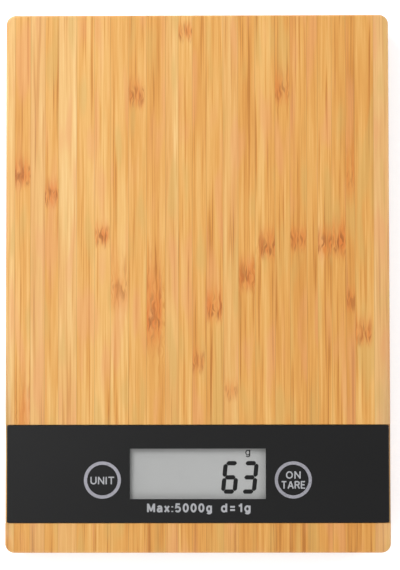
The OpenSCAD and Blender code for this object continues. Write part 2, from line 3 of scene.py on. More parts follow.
import bmesh
import bpy
from mathutils import Matrix, Vector


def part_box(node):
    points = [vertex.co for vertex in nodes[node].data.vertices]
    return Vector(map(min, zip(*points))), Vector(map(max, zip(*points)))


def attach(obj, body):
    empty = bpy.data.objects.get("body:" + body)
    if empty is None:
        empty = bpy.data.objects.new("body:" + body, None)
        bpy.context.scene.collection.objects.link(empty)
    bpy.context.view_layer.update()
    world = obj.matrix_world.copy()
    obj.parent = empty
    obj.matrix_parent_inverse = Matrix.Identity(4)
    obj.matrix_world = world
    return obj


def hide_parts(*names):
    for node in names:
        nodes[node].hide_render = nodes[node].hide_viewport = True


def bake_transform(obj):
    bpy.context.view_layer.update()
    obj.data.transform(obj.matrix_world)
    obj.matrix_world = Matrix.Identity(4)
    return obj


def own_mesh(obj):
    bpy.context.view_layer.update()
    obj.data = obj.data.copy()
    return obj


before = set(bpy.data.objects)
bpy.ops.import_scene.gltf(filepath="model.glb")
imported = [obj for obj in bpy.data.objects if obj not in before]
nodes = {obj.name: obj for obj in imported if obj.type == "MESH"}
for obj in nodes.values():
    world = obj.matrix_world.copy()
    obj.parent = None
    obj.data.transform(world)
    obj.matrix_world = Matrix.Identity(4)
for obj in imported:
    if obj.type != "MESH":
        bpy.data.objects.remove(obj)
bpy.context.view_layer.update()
scene = bpy.context.scene
mm = 0.001
weldGap = 1e-6  # metres; points closer than this are one point
print("frame loaded:", len(nodes), "pieces")


def linearColour(code):
    # sRGB hex to the linear values that Blender works in
    channels = [int(code[i:i + 2], 16) / 255 for i in (1, 3, 5)]
    return (*[c / 12.92 if c <= 0.04045 else ((c + 0.055) / 1.055) ** 2.4 for c in channels], 1.0)


def shaded(code, amount):
    # a lighter or darker form of a colour, for the two ends of a small variation
    return (*[min(c * amount, 1.0) for c in linearColour(code)[:3]], 1.0)


def join(tree, value, socket):
    # a socket takes a plain value, another socket, or a node's first output
    if isinstance(value, bpy.types.Node):
        value = value.outputs[0]
    if isinstance(value, bpy.types.NodeSocket):
        tree.links.new(value, socket)
    else:
        socket.default_value = linearColour(value) if isinstance(value, str) else value


def addNode(tree, kind, *inputs, **settings):
    # one node: inputs in their order, then settings by name, where a capital starts the name of a socket
    node = tree.nodes.new("ShaderNode" + kind)
    for name, value in settings.items():
        if name == "stops":
            elements = node.color_ramp.elements
            for place, code in value[2:]:
                elements.new(place)
            for element, (place, code) in zip(elements, sorted(value)):
                element.position = place
                element.color = linearColour(code)
        elif name[0].isupper():
            join(tree, value, node.inputs[name.replace("_", " ")])
        else:
            setattr(node, name, value)
    for socket, value in zip(node.inputs, inputs):
        join(tree, value, socket)
    return node


def newMaterial(name, **surface):
    material = bpy.data.materials.new(name)
    material.use_nodes = True
    tree = material.node_tree
    tree.nodes.clear()
    shader = addNode(tree, "BsdfPrincipled", **surface)
    addNode(tree, "OutputMaterial", shader)
    return material, tree, shader


def millimetres(tree):
    # Object coordinates counted in millimetres, so that pattern sizes are real sizes
    place = addNode(tree, "TexCoord").outputs["Object"]
    return addNode(tree, "VectorMath", place, (1000, 1000, 1000), operation="MULTIPLY")


def newPiece(name, bm, material, body=None, smoothAngle=30):
    # a bmesh, already in place, becomes a finished piece
    bmesh.ops.recalc_face_normals(bm, faces=bm.faces)
    mesh = bpy.data.meshes.new(name)
    bm.to_mesh(mesh)
    bm.free()
    mesh.shade_smooth()
    mesh.set_sharp_from_angle(angle=math.radians(smoothAngle))
    mesh.materials.append(material)
    piece = bpy.data.objects.new(name, mesh)
    scene.collection.objects.link(piece)
    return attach(piece, body) if body else piece


def mergedCopy(node):
    # a CAD node's loose triangles joined into one skin, so that it can be cut
    bm = bmesh.new()
    bm.from_mesh(nodes[node].data)
    bmesh.ops.remove_doubles(bm, verts=bm.verts, dist=weldGap)
    return bm


def cutAcross(bm, axis, places):
    # new edge loops where planes across an axis meet the piece
    for place in places:
        point, normal = Vector(), Vector()
        point[axis], normal[axis] = place, 1
        everything = bm.verts[:] + bm.edges[:] + bm.faces[:]
        bmesh.ops.bisect_plane(bm, geom=everything, plane_co=point, plane_no=normal, dist=weldGap)


stripLayers = ["stripTone", "stripSpan", "knuckle"]  # what each face of the board knows about its strip

bambooLook = {
    "tones": [(0.0, "#f4cd89"), (0.25, "#ecb96e"), (0.5, "#e2a556"), (0.75, "#d69345"), (1.0, "#bd7a34")],
    "pale": "#e2bd90",          # strips cut near the pith
    "pink": "#e6a06c",          # patches that lean to pink, and how strongly
    "pinkShare": 0.4,
    "olive": "#d3ac62",         # patches that lean to olive
    "oliveShare": 0.45,
    "blush": "#dc8038",         # orange wood round a knuckle
    "knuckle": "#a9622a",       # the knuckle's own dark fibres
    "knuckleShare": 0.85,
    "glue": "#b98649",          # line between two strips
    "glueShare": 0.35,
    "glueMm": 0.3,
    "endGrain": "#cf9e5e",      # the cut ends between the bundles
    "endShare": 0.3,
    "pores": "#9a6a38",         # fibre bundles seen end on
    "poreShare": 0.5,
    "poreMm": 0.55,             # spacing of the bundles
    "fibreMm": 0.9,             # a fibre bundle as it shows, with the length along which it keeps its tone
    "fibreRunMm": 38,
    "fibreDepth": 0.86,         # how far the bundles spread over the tones
    "lineRunMm": 60,            # single dark fibres
    "lineDepth": 0.36,
    "streakMm": 3.0,            # broader streaks
    "streakRunMm": 110,
    "streakDepth": 0.9,
    "evenDepth": -0.9,          # brings the middle of these back to the strip's own depth
    "patchMm": 6.5,             # patches of another hue
    "patchRunMm": 38,
    "knuckleHalfMm": (2.6, 4.4),  # half width of a knuckle, where it begins to fade and where it is gone
    "zigzagMm": 1.4,            # height of the zigzag that its dashes follow
    "dashMm": 0.7,              # dashes of a knuckle
    "dashRunMm": 7,
    "waveMm": 0.5,              # how far fibres swing aside round a knuckle
    "waviness": 0.8,            # how quickly they swing along the strip
    "reliefMm": 0.04,           # height of the sanded fibres under the lacquer
}


def laminatedBamboo(look):
    # laminated bamboo, strips glued on edge, sanded and lacquered: straight fine fibres, an even satin gloss
    material, tree, shader = newMaterial("laminatedBamboo", Roughness=0.42,
                                         Coat_Weight=0.1, Coat_Roughness=0.3)
    soft = {"interpolation_type": "SMOOTHSTEP"}
    fullTurn = 6.28

    x, y, z = addNode(tree, "SeparateXYZ", millimetres(tree)).outputs
    layers = [addNode(tree, "Attribute", attribute_name=name).outputs["Vector"] for name in stripLayers]
    (depth, paleness, seed), (centre, halfWidth, reach), (knuckleX, knuckleY, strength) = [
        addNode(tree, "SeparateXYZ", layer).outputs for layer in layers]
    dx = addNode(tree, "Math", x, knuckleX, operation="SUBTRACT")
    dy = addNode(tree, "Math", y, knuckleY, operation="SUBTRACT")
    sideways = addNode(tree, "Math", dx, operation="ABSOLUTE")
    lengthways = addNode(tree, "Math", dy, operation="ABSOLUTE")
    fromCentre = addNode(tree, "Math", x, centre, operation="SUBTRACT")

    # fibres part and wave round a knuckle
    near = addNode(tree, "MapRange", lengthways, 0, reach, 1, 0, **soft)
    near = addNode(tree, "Math", near, strength, operation="MULTIPLY")
    turn = addNode(tree, "Math", y, look["waviness"], operation="MULTIPLY")
    turn = addNode(tree, "Math", turn, operation="SINE")
    turn = addNode(tree, "Math", seed, fullTurn, turn, operation="MULTIPLY_ADD")
    wave = addNode(tree, "Math", dx, 1.5, turn, operation="MULTIPLY_ADD")
    wave = addNode(tree, "Math", wave, operation="SINE")
    wave = addNode(tree, "Math", wave, near, operation="MULTIPLY")
    bentX = addNode(tree, "Math", wave, look["waveMm"], x, operation="MULTIPLY_ADD")
    layer = addNode(tree, "Math", seed, 61, z, operation="MULTIPLY_ADD")  # each strip has its own noise

    def grain(widthMm, runMm, shift, detail=1):
        # noise drawn out along the strip: widthMm across the fibres, runMm along them
        along = addNode(tree, "Math", y, widthMm / runMm, shift, operation="MULTIPLY_ADD")
        place = addNode(tree, "CombineXYZ", bentX, along, layer)
        return addNode(tree, "TexNoise", place, Scale=1 / widthMm, Detail=detail, Roughness=0.55).outputs[0]

    fine = grain(look["fibreMm"], look["fibreRunMm"], 0, 3)
    line = grain(look["fibreMm"] * 1.1, look["lineRunMm"], 37)
    line = addNode(tree, "MapRange", line, 0.56, 0.7, **soft)
    broad = grain(look["streakMm"], look["streakRunMm"], 0, 2)
    patch = grain(look["patchMm"], look["patchRunMm"], 91)

    # the tone at a point: fibres, streaks and single dark lines, calmer on the cut ends
    facing = addNode(tree, "SeparateXYZ", addNode(tree, "TexCoord").outputs["Normal"]).outputs[1]
    endOn = addNode(tree, "Math", facing, operation="ABSOLUTE")
    endOn = addNode(tree, "MapRange", endOn, 0.75, 0.95, **soft)
    value = addNode(tree, "Math", fine, look["fibreDepth"], look["evenDepth"], operation="MULTIPLY_ADD")
    value = addNode(tree, "Math", broad, look["streakDepth"], value, operation="MULTIPLY_ADD")
    value = addNode(tree, "Math", line, look["lineDepth"], value, operation="MULTIPLY_ADD")
    calm = addNode(tree, "Math", endOn, -0.7, 1.0, operation="MULTIPLY_ADD")
    value = addNode(tree, "Math", value, calm, depth, operation="MULTIPLY_ADD")
    colour = addNode(tree, "ValToRGB", value, stops=look["tones"])
    colour = addNode(tree, "MixRGB", paleness, colour, look["pale"])
    pink = addNode(tree, "MapRange", patch, 0.54, 0.7, 0, look["pinkShare"], **soft)
    colour = addNode(tree, "MixRGB", pink, colour, look["pink"])
    olive = addNode(tree, "MapRange", patch, 0.46, 0.3, 0, look["oliveShare"], **soft)
    colour = addNode(tree, "MixRGB", olive, colour, look["olive"])

    # orange wood round a knuckle, in streaks that run farther above it than below
    fadeStart, fadeEnd = look["knuckleHalfMm"]
    inside = addNode(tree, "MapRange", sideways, fadeStart, fadeEnd, 1, 0, **soft)
    inside = addNode(tree, "Math", inside, strength, operation="MULTIPLY")
    above = addNode(tree, "Math", dy, reach, operation="DIVIDE")
    above = addNode(tree, "MapRange", above, 0, 1.2, 1, 0, **soft)
    tail = addNode(tree, "Math", reach, 0.35, 3.0, operation="MULTIPLY_ADD")
    below = addNode(tree, "Math", dy, tail, operation="DIVIDE")
    below = addNode(tree, "MapRange", below, -1.2, 0, 0, 1, **soft)
    zone = addNode(tree, "Math", above, below, operation="MULTIPLY")
    zone = addNode(tree, "Math", zone, inside, operation="MULTIPLY")
    strand = addNode(tree, "MapRange", grain(1.15, 16, 13), 0.38, 0.62, 0.45, 0.95, **soft)
    blush = addNode(tree, "Math", zone, strand, operation="MULTIPLY")
    colour = addNode(tree, "MixRGB", blush, colour, look["blush"])

    # the knuckle itself: short upright dashes along a zigzag
    crest = addNode(tree, "Math", addNode(tree, "Math", dx, 1.75, operation="MULTIPLY"), operation="COSINE")
    offLine = addNode(tree, "Math", crest, -look["zigzagMm"], dy, operation="MULTIPLY_ADD")
    offLine = addNode(tree, "Math", offLine, operation="ABSOLUTE")
    mark = addNode(tree, "MapRange", offLine, 1.2, 5.2, look["knuckleShare"], 0, **soft)
    dash = grain(look["dashMm"], look["dashRunMm"], 53)
    dash = addNode(tree, "MapRange", dash, 0.48, 0.6, **soft)
    mark = addNode(tree, "Math", mark, dash, operation="MULTIPLY")
    mark = addNode(tree, "Math", mark, inside, operation="MULTIPLY")
    streak = addNode(tree, "MapRange", grain(look["fibreMm"], 12, 71), 0.52, 0.68, 0, 0.55, **soft)
    streak = addNode(tree, "Math", streak, zone, operation="MULTIPLY")
    dark = addNode(tree, "Math", mark, streak, operation="MAXIMUM")
    colour = addNode(tree, "MixRGB", dark, colour, look["knuckle"])

    # glue line at each edge of a strip
    edge = addNode(tree, "Math", fromCentre, operation="ABSOLUTE")
    edge = addNode(tree, "Math", halfWidth, edge, operation="SUBTRACT")
    glue = addNode(tree, "MapRange", edge, 0.02, look["glueMm"], look["glueShare"], 0, **soft)
    colour = addNode(tree, "MixRGB", glue, colour, look["glue"])

    # end grain: dark dots where the fibre bundles come out, stronger towards the side that was the skin
    dots = addNode(tree, "CombineXYZ", x, z, seed)
    dots = addNode(tree, "TexVoronoi", dots, Scale=1 / look["poreMm"], Randomness=0.85)
    dots = addNode(tree, "MapRange", dots, 0.2, 0.42, look["poreShare"], 0, **soft)
    skin = addNode(tree, "Math", fromCentre, halfWidth, operation="DIVIDE")
    skin = addNode(tree, "MapRange", skin, -1, 1, 0.15, 1)
    dots = addNode(tree, "Math", dots, skin, operation="MULTIPLY")
    dots = addNode(tree, "Math", dots, endOn, operation="MULTIPLY")
    ends = addNode(tree, "Math", endOn, look["endShare"], operation="MULTIPLY")
    colour = addNode(tree, "MixRGB", ends, colour, look["endGrain"])
    colour = addNode(tree, "MixRGB", dots, colour, look["pores"])
    join(tree, colour, shader.inputs["Base Color"])
    relief = addNode(tree, "Bump", Height=fine, Strength=0.25, Distance=look["reliefMm"] * mm)
    join(tree, relief, shader.inputs["Normal"])
    return material


def moulded(name, colour, roughness, grainMm, depthMm, spread=0.15, cloudMm=40, **surface):
    # moulded or printed plastic and rubber: one colour all through, broken only by the mould's fine texture
    material, tree, shader = newMaterial(name, **surface)
    place = millimetres(tree)
    grain = addNode(tree, "TexNoise", place, Scale=1 / grainMm, Detail=2, Roughness=0.5)
    cloud = addNode(tree, "TexNoise", place, Scale=1 / cloudMm, Detail=1, Roughness=0.5)
    amount = addNode(tree, "Math", grain, 0.5, cloud, operation="MULTIPLY_ADD")
    amount = addNode(tree, "MapRange", amount, 0.5, 1.0)
    tone = addNode(tree, "MixRGB", amount, shaded(colour, 1 - spread), shaded(colour, 1 + spread))
    gloss = addNode(tree, "MapRange", grain, 0.3, 0.7, roughness - 0.05, roughness + 0.05)
    join(tree, tone, shader.inputs["Base Color"])
    join(tree, gloss, shader.inputs["Roughness"])
    relief = addNode(tree, "Bump", Height=grain, Strength=0.5, Distance=depthMm * mm)
    join(tree, relief, shader.inputs["Normal"])
    return material


def worked(name, colour, roughness, lineMm, stretch, reliefMm=0.005, **surface):
    # rolled, drawn, milled or plated metal: fine lines along the way it was worked
    material, tree, shader = newMaterial(name, Metallic=1.0, **surface)
    place = addNode(tree, "VectorMath", millimetres(tree), stretch, operation="MULTIPLY")
    lines = addNode(tree, "TexNoise", place, Scale=1 / lineMm, Detail=3, Roughness=0.6)
    tone = addNode(tree, "MixRGB", lines, shaded(colour, 0.85), shaded(colour, 1.1))
    gloss = addNode(tree, "MapRange", lines, 0.3, 0.7, roughness - 0.08, roughness + 0.08)
    join(tree, tone, shader.inputs["Base Color"])
    join(tree, gloss, shader.inputs["Roughness"])
    relief = addNode(tree, "Bump", Height=lines, Strength=0.3, Distance=reliefMm * mm)
    join(tree, relief, shader.inputs["Normal"])
    return material


def clearSheet(name, colour, alpha, roughness, hazeMm=12, **surface):
    # cast clear sheet: shows what lies behind it, under a thin even gloss with a trace of haze
    material, tree, shader = newMaterial(name, Alpha=alpha, **surface)
    haze = addNode(tree, "TexNoise", millimetres(tree), Scale=1 / hazeMm, Detail=1, Roughness=0.5)
    tone = addNode(tree, "MixRGB", haze, shaded(colour, 0.9), shaded(colour, 1.1))
    gloss = addNode(tree, "MapRange", haze, 0.3, 0.7, roughness, roughness + 0.03)
    join(tree, tone, shader.inputs["Base Color"])
    join(tree, gloss, shader.inputs["Roughness"])
    return material


def circuitLaminate(mask="#0f4a26", track="#1f6d3c", pitchMm=4.5, reliefMm=0.03):
    # glass epoxy under green solder mask: copper tracks show through as paler raised lines
    material, tree, shader = newMaterial("solderMaskOnGlassEpoxy", Roughness=0.35)
    cells = addNode(tree, "TexVoronoi", millimetres(tree), Scale=1 / pitchMm, Randomness=0.6,
                    distance="CHEBYCHEV")
    rings = addNode(tree, "Math", addNode(tree, "Math", cells, 34, operation="MULTIPLY"), operation="SINE")
    copper = addNode(tree, "MapRange", rings, 0.3, 0.6)
    join(tree, addNode(tree, "MixRGB", copper, mask, track), shader.inputs["Base Color"])
    relief = addNode(tree, "Bump", Height=copper, Strength=0.3, Distance=reliefMm * mm)
    join(tree, relief, shader.inputs["Normal"])
    return material


# each band's start as a share of the cell's length, and its colour: steel, copper, dark print, steel
batterySleeveBands = [(0.0, "#b9b9b6"), (0.05, "#b06a34"), (0.33, "#20242c"), (0.985, "#b9b9b6")]


def batterySleeve():
    # shrink sleeve over a steel can: dark body, copper-coloured end, bare steel past the sleeve
    material, tree, shader = newMaterial("printedShrinkSleeve", Roughness=0.28)
    x, y, z = addNode(tree, "SeparateXYZ", millimetres(tree)).outputs
    # the two cells lie in opposite directions, so the pattern turns over between them
    middle = (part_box("battery_rear")[0].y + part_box("battery_front")[1].y) / 2 / mm
    way = addNode(tree, "MapRange", y, middle - 0.01, middle + 0.01, -1, 1)
    along = addNode(tree, "Math", x, way, operation="MULTIPLY")
    share = addNode(tree, "MapRange", along, -25, 20)
    tone = addNode(tree, "ValToRGB", share, stops=batterySleeveBands)
    tone.color_ramp.interpolation = "CONSTANT"
    join(tree, tone, shader.inputs["Base Color"])
    join(tree, addNode(tree, "MapRange", along, -11, -10, 0.85, 0.1), shader.inputs["Metallic"])
    return material


bamboo = laminatedBamboo(bambooLook)
printInk = moulded("screenPrintedInk", "#a9aaae", 0.55, 0.4, 0.002, 0.06)   # flat, pale grey, no grain
displayInk = moulded("liquidCrystalSegments", "#060607", 0.5, 0.5, 0.0)     # black with no relief at all
aluminium = worked("milledAluminium", "#d2d4d6", 0.32, 0.5, (0.2, 1, 1))    # cutter lines across the beam
sealant = moulded("siliconeSealant", "#e2e2de", 0.5, 1.5, 0.15)             # brushed on, so a little lumpy
foil = worked("gaugeFoil", "#c08a4e", 0.4, 0.3, (1, 0.1, 1))                # coppery, lines lengthways
domeSteel = worked("springSteelDome", "#c9c5bb", 0.25, 0.8, (1, 0.4, 1))    # bright, warm, rolled one way

finishes = {
    bamboo: ["bamboo_board"],
    # near-black with a soft wide sheen, smooth to the finger
    moulded("satinMouldedAbs", "#0b0b0c", 0.42, 0.35, 0.006): ["display_panel", "unit_button", "tare_button"],
    # dull charcoal that shows the mould's fine pitting
    moulded("sparkTexturedAbs", "#1b1b1c", 0.6, 0.45, 0.03): ["base_tray", "battery_door", "battery_box"],
    # almost no gloss
    moulded("mouldedRubber", "#191919", 0.8, 0.6, 0.02): [
        "foot_front_left", "foot_front_right", "foot_back_left", "foot_back_right"],
    # plain light plastics inside, with an even low sheen
    moulded("whiteAbs", "#e4e4e0", 0.5, 0.5, 0.01): ["lcd_frame"],
    moulded("ivoryNylon", "#d9d2ba", 0.45, 0.3, 0.005): ["unit_switch_stem", "tare_switch_stem"],
    # chip cases and the cast drop over the controller, a tighter gloss than the casing
    moulded("blackEpoxy", "#161617", 0.3, 0.8, 0.01): [
        "unit_switch_housing", "tare_switch_housing", "controller_blob", "amplifier_chip", "chip_resistors"],
    moulded("firedCeramic", "#a5855c", 0.5, 0.3, 0.005): ["chip_capacitors"],       # matt tan
    moulded("conductiveSilicone", "#c98a95", 0.6, 0.3, 0.01): ["zebra_strip"],      # soft dull pink
    moulded("foamTape", "#cbb68a", 0.7, 0.4, 0.02): ["panel_tape", "wire_tape"],    # yellowed and matt
    # wire sleeves, waxy rather than glossy
    moulded("redPvc", "#b3201d", 0.45, 0.5, 0.005): ["cell_wire_red", "battery_wire_red"],
    moulded("blackPvc", "#1b1b1b", 0.45, 0.5, 0.005): ["cell_wire_black", "battery_wire_black"],
    moulded("greenPvc", "#1f7a3a", 0.45, 0.5, 0.005): ["cell_wire_green"],
    moulded("whitePvc", "#e0e0de", 0.45, 0.5, 0.005): ["cell_wire_white"],
    # the display's even grey, and the silvery film behind it
    moulded("polariserFilm", "#cbcccb", 0.5, 3.0, 0.0, 0.02): ["lcd_front_polariser"],
    moulded("reflectorFilm", "#a3a5a4", 0.35, 0.5, 0.002): ["lcd_reflector"],
    # pale grey steel with faint rolling lines
    worked("zincPlatedSteel", "#c6c8ca", 0.35, 1.2, (1, 0.3, 1)): [
        "carrier_plate", "wood_screws", "upper_spacer", "lower_spacer", "main_board_screws"],
    worked("blackOxideSteel", "#3a3a3c", 0.45, 0.8, (1, 1, 0.3)): ["upper_cell_screws", "lower_cell_screws"],
    # brighter and warmer than zinc
    worked("nickelPlatedSteel", "#c9c5bb", 0.25, 0.8, (1, 0.4, 1)): [
        "positive_contact", "negative_contact", "bridge_contact", "negative_spring", "bridge_spring"],
    worked("tinSolder", "#c4c4c4", 0.3, 0.5, (1, 1, 1)): ["solder_joints"],
    # silver with a faint lilac cast, blurred enough to look painted
    worked("satinPlatedTrim", "#bbbac3", 0.55, 0.6, (1, 1, 1)): ["unit_button_ring", "tare_button_ring"],
    clearSheet("clearAcrylic", "#20221f", 0.08, 0.06, IOR=1.49): ["display_window"],
    clearSheet("floatGlass", "#8fa69a", 0.25, 0.03, IOR=1.52): ["lcd_front_glass", "lcd_rear_glass"],
    circuitLaminate(): ["main_board"],
    batterySleeve(): ["battery_rear", "battery_front"],
    aluminium: ["load_cell"],
    sealant: ["gauge_sealant"],
    foil: ["strain_gauges"],
    domeSteel: ["unit_switch_dome", "tare_switch_dome"],
}
for material, names in finishes.items():
    for name in names:
        nodes[name].data.materials.clear()
        nodes[name].data.materials.append(material)
print("materials made:", len(finishes))

# each strip: its right edge in mm from the middle, how deep and how pale its colour is, and its knuckle as
# (x, y, strength, reach above it), or none; a second knuckle is for the strip's part in front of the cut
board = {
    "left": -82.0,
    "cut": 5.0,
    "frontCut": -80.0,      # in front of this, under the panel, the strips are a little deeper
    "frontDepth": 0.14,
    "strips": [
        (-78.2, 0.30, 0.1, None),
        (-71.4, 0.46, 0.0, (-75.0, 46, 0.9, 10), (-72.8, -80, 0.8, 50)),
        (-65.3, 0.42, 0.2, None),
        (-59.4, 0.44, 0.0, (-63.0, 37, 0.9, 9)),
        (-51.7, 0.27, 0.15, None),
        (-44.0, 0.34, 0.0, None),
        (-37.2, 0.34, 0.0, (-41.5, 20, 0.9, 7)),
        (-29.5, 0.40, 0.0, (-33.6, -3, 0.6, 22)),
        (-21.8, 0.42, 0.0, (-26.3, 80, 0.8, 10)),
        (-13.7, 0.54, 0.0, (-18.8, -16, 1.0, 34)),
        (-8.2, 0.42, 0.1, None),
        (-2.2, 0.40, 0.0, (-4.8, 108, 0.7, 5)),
        (3.8, 0.54, 0.0, (-0.6, -34, 0.6, 8)),
        (11.0, 0.48, 0.0, (7.4, -11, 1.0, 12)),
        (17.4, 0.45, 0.1, (15.4, -46, 0.5, 6)),
        (24.7, 0.56, 0.0, (21.4, 2, 1.0, 11)),
        (33.2, 0.46, 0.0, (29.8, 15, 0.9, 10)),
        (39.6, 0.56, 0.0, (36.2, 82, 0.7, 12)),
        (46.8, 0.62, 0.0, (43.0, 18, 0.8, 8)),
        (51.4, 0.52, 0.0, None),
        (57.5, 0.52, 0.0, (54.1, 16, 0.9, 10)),
        (63.5, 0.60, 0.0, (61.2, 17, 1.0, 13)),
        (67.3, 0.66, 0.0, (65.4, 44, 0.5, 24), (64.6, -8, 0.7, 8)),
        (75.4, 0.50, 0.0, (70.7, -22, 0.8, 10)),
        (82.0, 0.44, 0.3, None),
    ],
    "noKnuckle": (0, 500, 0, 10),   # so far off and faint that it leaves no trace
    "seedStep": 0.731,              # keeps neighbouring strips' grain unlike each other
}


def makeBoard():
    # the board's own shape, cut along every glue line so that each strip can have its own wood
    bm = mergedCopy("bamboo_board")
    edges = [strip[0] for strip in board["strips"][:-1]]
    cutAcross(bm, 0, [edge * mm for edge in edges])
    cutAcross(bm, 1, [board["cut"] * mm, board["frontCut"] * mm])
    piece = newPiece("bambooBoard", bm, bamboo, "platform")
    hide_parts("bamboo_board")
    layers = {name: [] for name in stripLayers}
    for face in piece.data.polygons:
        number = sum(face.center.x > edge * mm for edge in edges)
        right, depth, paleness, *knuckles = board["strips"][number]
        left = edges[number - 1] if number else board["left"]
        knuckle = knuckles[-1] if face.center.y < board["cut"] * mm else knuckles[0]
        knuckleX, knuckleY, strength, reach = knuckle or board["noKnuckle"]
        if face.center.y < board["frontCut"] * mm:
            depth += board["frontDepth"]
        layers["stripTone"] += [depth, paleness, number * board["seedStep"] % 1]
        layers["stripSpan"] += [(left + right) / 2, (right - left) / 2, reach]
        layers["knuckle"] += [knuckleX, knuckleY, strength]
    for name, values in layers.items():
        piece.data.attributes.new(name, "FLOAT_VECTOR", "FACE").data.foreach_set("vector", values)


makeBoard()
print("bamboo board made")

panelMiddle = sum(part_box("display_panel"), Vector()) / 2
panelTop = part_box("display_panel")[1].z
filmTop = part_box("lcd_front_polariser")[1].z
unitMiddle = sum(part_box("unit_button"), Vector()) / 2
tareMiddle = sum(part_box("tare_button"), Vector()) / 2
ink = {
    "thickness": 0.012,     # mm
    "step": 0.0015,         # mm by which each stroke of a letter lies above the last
    "spacing": 1.9,         # from a letter to the next, in strokes
    "mitre": 0.4,           # keeps a sharp corner's point from running far out
}


def bend(x, y, width, height, start, end, steps=8):
    # points along part of an oval, angles in degrees
    angles = [math.radians(start + (end - start) * k / steps) for k in range(steps + 1)]
    return [(x + width * math.cos(a), y + height * math.sin(a)) for a in angles]


# plain block letters: each is its width and the middle lines of its strokes, with capitals one unit tall
letters = {
    "U": (0.72, [[(0, 1.08)] + bend(0.36, 0.3, 0.36, 0.3, 180, 360) + [(0.72, 1.08)]]),
    "N": (0.74, [[(0, -0.08), (0, 1.08)], [(0.03, 0.97), (0.71, 0.03)], [(0.74, -0.08), (0.74, 1.08)]]),
    "I": (0.0, [[(0, -0.08), (0, 1.08)]]),
    "T": (0.72, [[(-0.06, 1), (0.78, 1)], [(0.36, 1), (0.36, -0.08)]]),
    "O": (0.84, [bend(0.42, 0.5, 0.42, 0.5, 90, 450, 20)]),
    "A": (0.82, [[(-0.03, -0.08), (0.39, 1.04)], [(0.43, 1.04), (0.85, -0.08)],
                 [(0.15, 0.3), (0.67, 0.3)]]),
    "R": (0.7, [[(0, -0.08), (0, 1)], [(-0.08, 1)] + bend(0.42, 0.75, 0.26, 0.25, 90, -90) + [(0, 0.5)],
                [(0.4, 0.5), (0.74, -0.08)]]),
    "E": (0.58, [[(0, -0.08), (0, 1.08)], [(0, 1), (0.62, 1)], [(0, 0.52), (0.56, 0.52)],
                 [(0, 0), (0.64, 0)]]),
    "M": (0.84, [[(0, -0.08), (0, 1.08)], [(0.04, 1.0), (0.42, 0.06)], [(0.42, 0.06), (0.8, 1.0)],
                 [(0.84, -0.08), (0.84, 1.08)]]),
    "a": (0.52, [bend(0.26, 0.5, 0.25, 0.22, 160, 0) + [(0.52, -0.08)],
                 [(0.52, 0.42)] + bend(0.2, 0.2, 0.2, 0.2, 90, 270) + [(0.5, 0.12)]]),
    "x": (0.5, [[(-0.03, -0.05), (0.53, 0.75)], [(-0.03, 0.75), (0.53, -0.05)]]),
    ":": (0.0, [[(0, -0.06), (0, 0.1)], [(0, 0.56), (0, 0.72)]]),
    "5": (0.58, [[(0.56, 1), (0.1, 1), (0.04, 0.56)] + bend(0.27, 0.31, 0.31, 0.31, 118, -150, 12)]),
    "0": (0.58, [bend(0.29, 0.5, 0.29, 0.5, 90, 450, 18)]),
    "g": (0.54, [bend(0.27, 0.36, 0.27, 0.36, 0, 360, 16),
                 [(0.54, 0.8)] + bend(0.27, -0.04, 0.27, 0.22, 0, -150, 7)]),
    "d": (0.54, [bend(0.27, 0.36, 0.27, 0.36, 0, 360, 16), [(0.54, 1.08), (0.54, -0.08)]]),
    "=": (0.58, [[(0, 0.2), (0.58, 0.2)], [(0, 0.64), (0.58, 0.64)]]),
    "1": (0.3, [[(0, 0.74), (0.22, 0.84), (0.3, 1)], [(0.3, 1.08), (0.3, -0.08)]]),
}


def inkStroke(bm, points, half, height):
    # a raised band of ink: its leading edge is pulled on from point to point
    # a path that meets its start is closed
    points = [Vector(point) for point in points]
    closed = (points[0] - points[-1]).length < 1e-6
    rows = []
    for k, point in enumerate(points):
        before = points[-2] if closed and k == 0 else points[max(k - 1, 0)]
        after = points[1] if closed and k == len(points) - 1 else points[min(k + 1, len(points) - 1)]
        into, out = (point - before).normalized(), (after - point).normalized()
        side = (into + out).normalized().orthogonal()
        reach = max(side.dot((out if out.length else into).orthogonal()), ink["mitre"])
        rows.append((point, side * half / reach))
    faces = []
    lead = [bm.verts.new((*(rows[0][0] + rows[0][1] * way), 0)) for way in (1, -1)]
    edge = bm.edges.new(lead)
    for point, side in rows[1:]:
        grown = bmesh.ops.extrude_edge_only(bm, edges=[edge])["geom"]
        faces += [part for part in grown if isinstance(part, bmesh.types.BMFace)]
        ends = [part for part in grown if isinstance(part, bmesh.types.BMVert)]
        edge = bm.edges.get(ends)
        for vert in ends:
            start = next(link.other_vert(vert) for link in vert.link_edges if link != edge)
            way = 1 if start == lead[0] else -1
            vert.co = (*(point + side * way), 0)
        lead = sorted(ends, key=lambda vert: -(Vector(vert.co[:2]) - point).dot(side))
    if closed:
        verts = list(dict.fromkeys(vert for face in faces for vert in face.verts))
        bmesh.ops.remove_doubles(bm, verts=verts, dist=half * 0.05)
        faces = [face for face in faces if face.is_valid]
    raised = bmesh.ops.extrude_face_region(bm, geom=faces)["geom"]
    raised = [part for part in raised if isinstance(part, bmesh.types.BMVert)]
    bmesh.ops.translate(bm, vec=(0, 0, height), verts=raised)


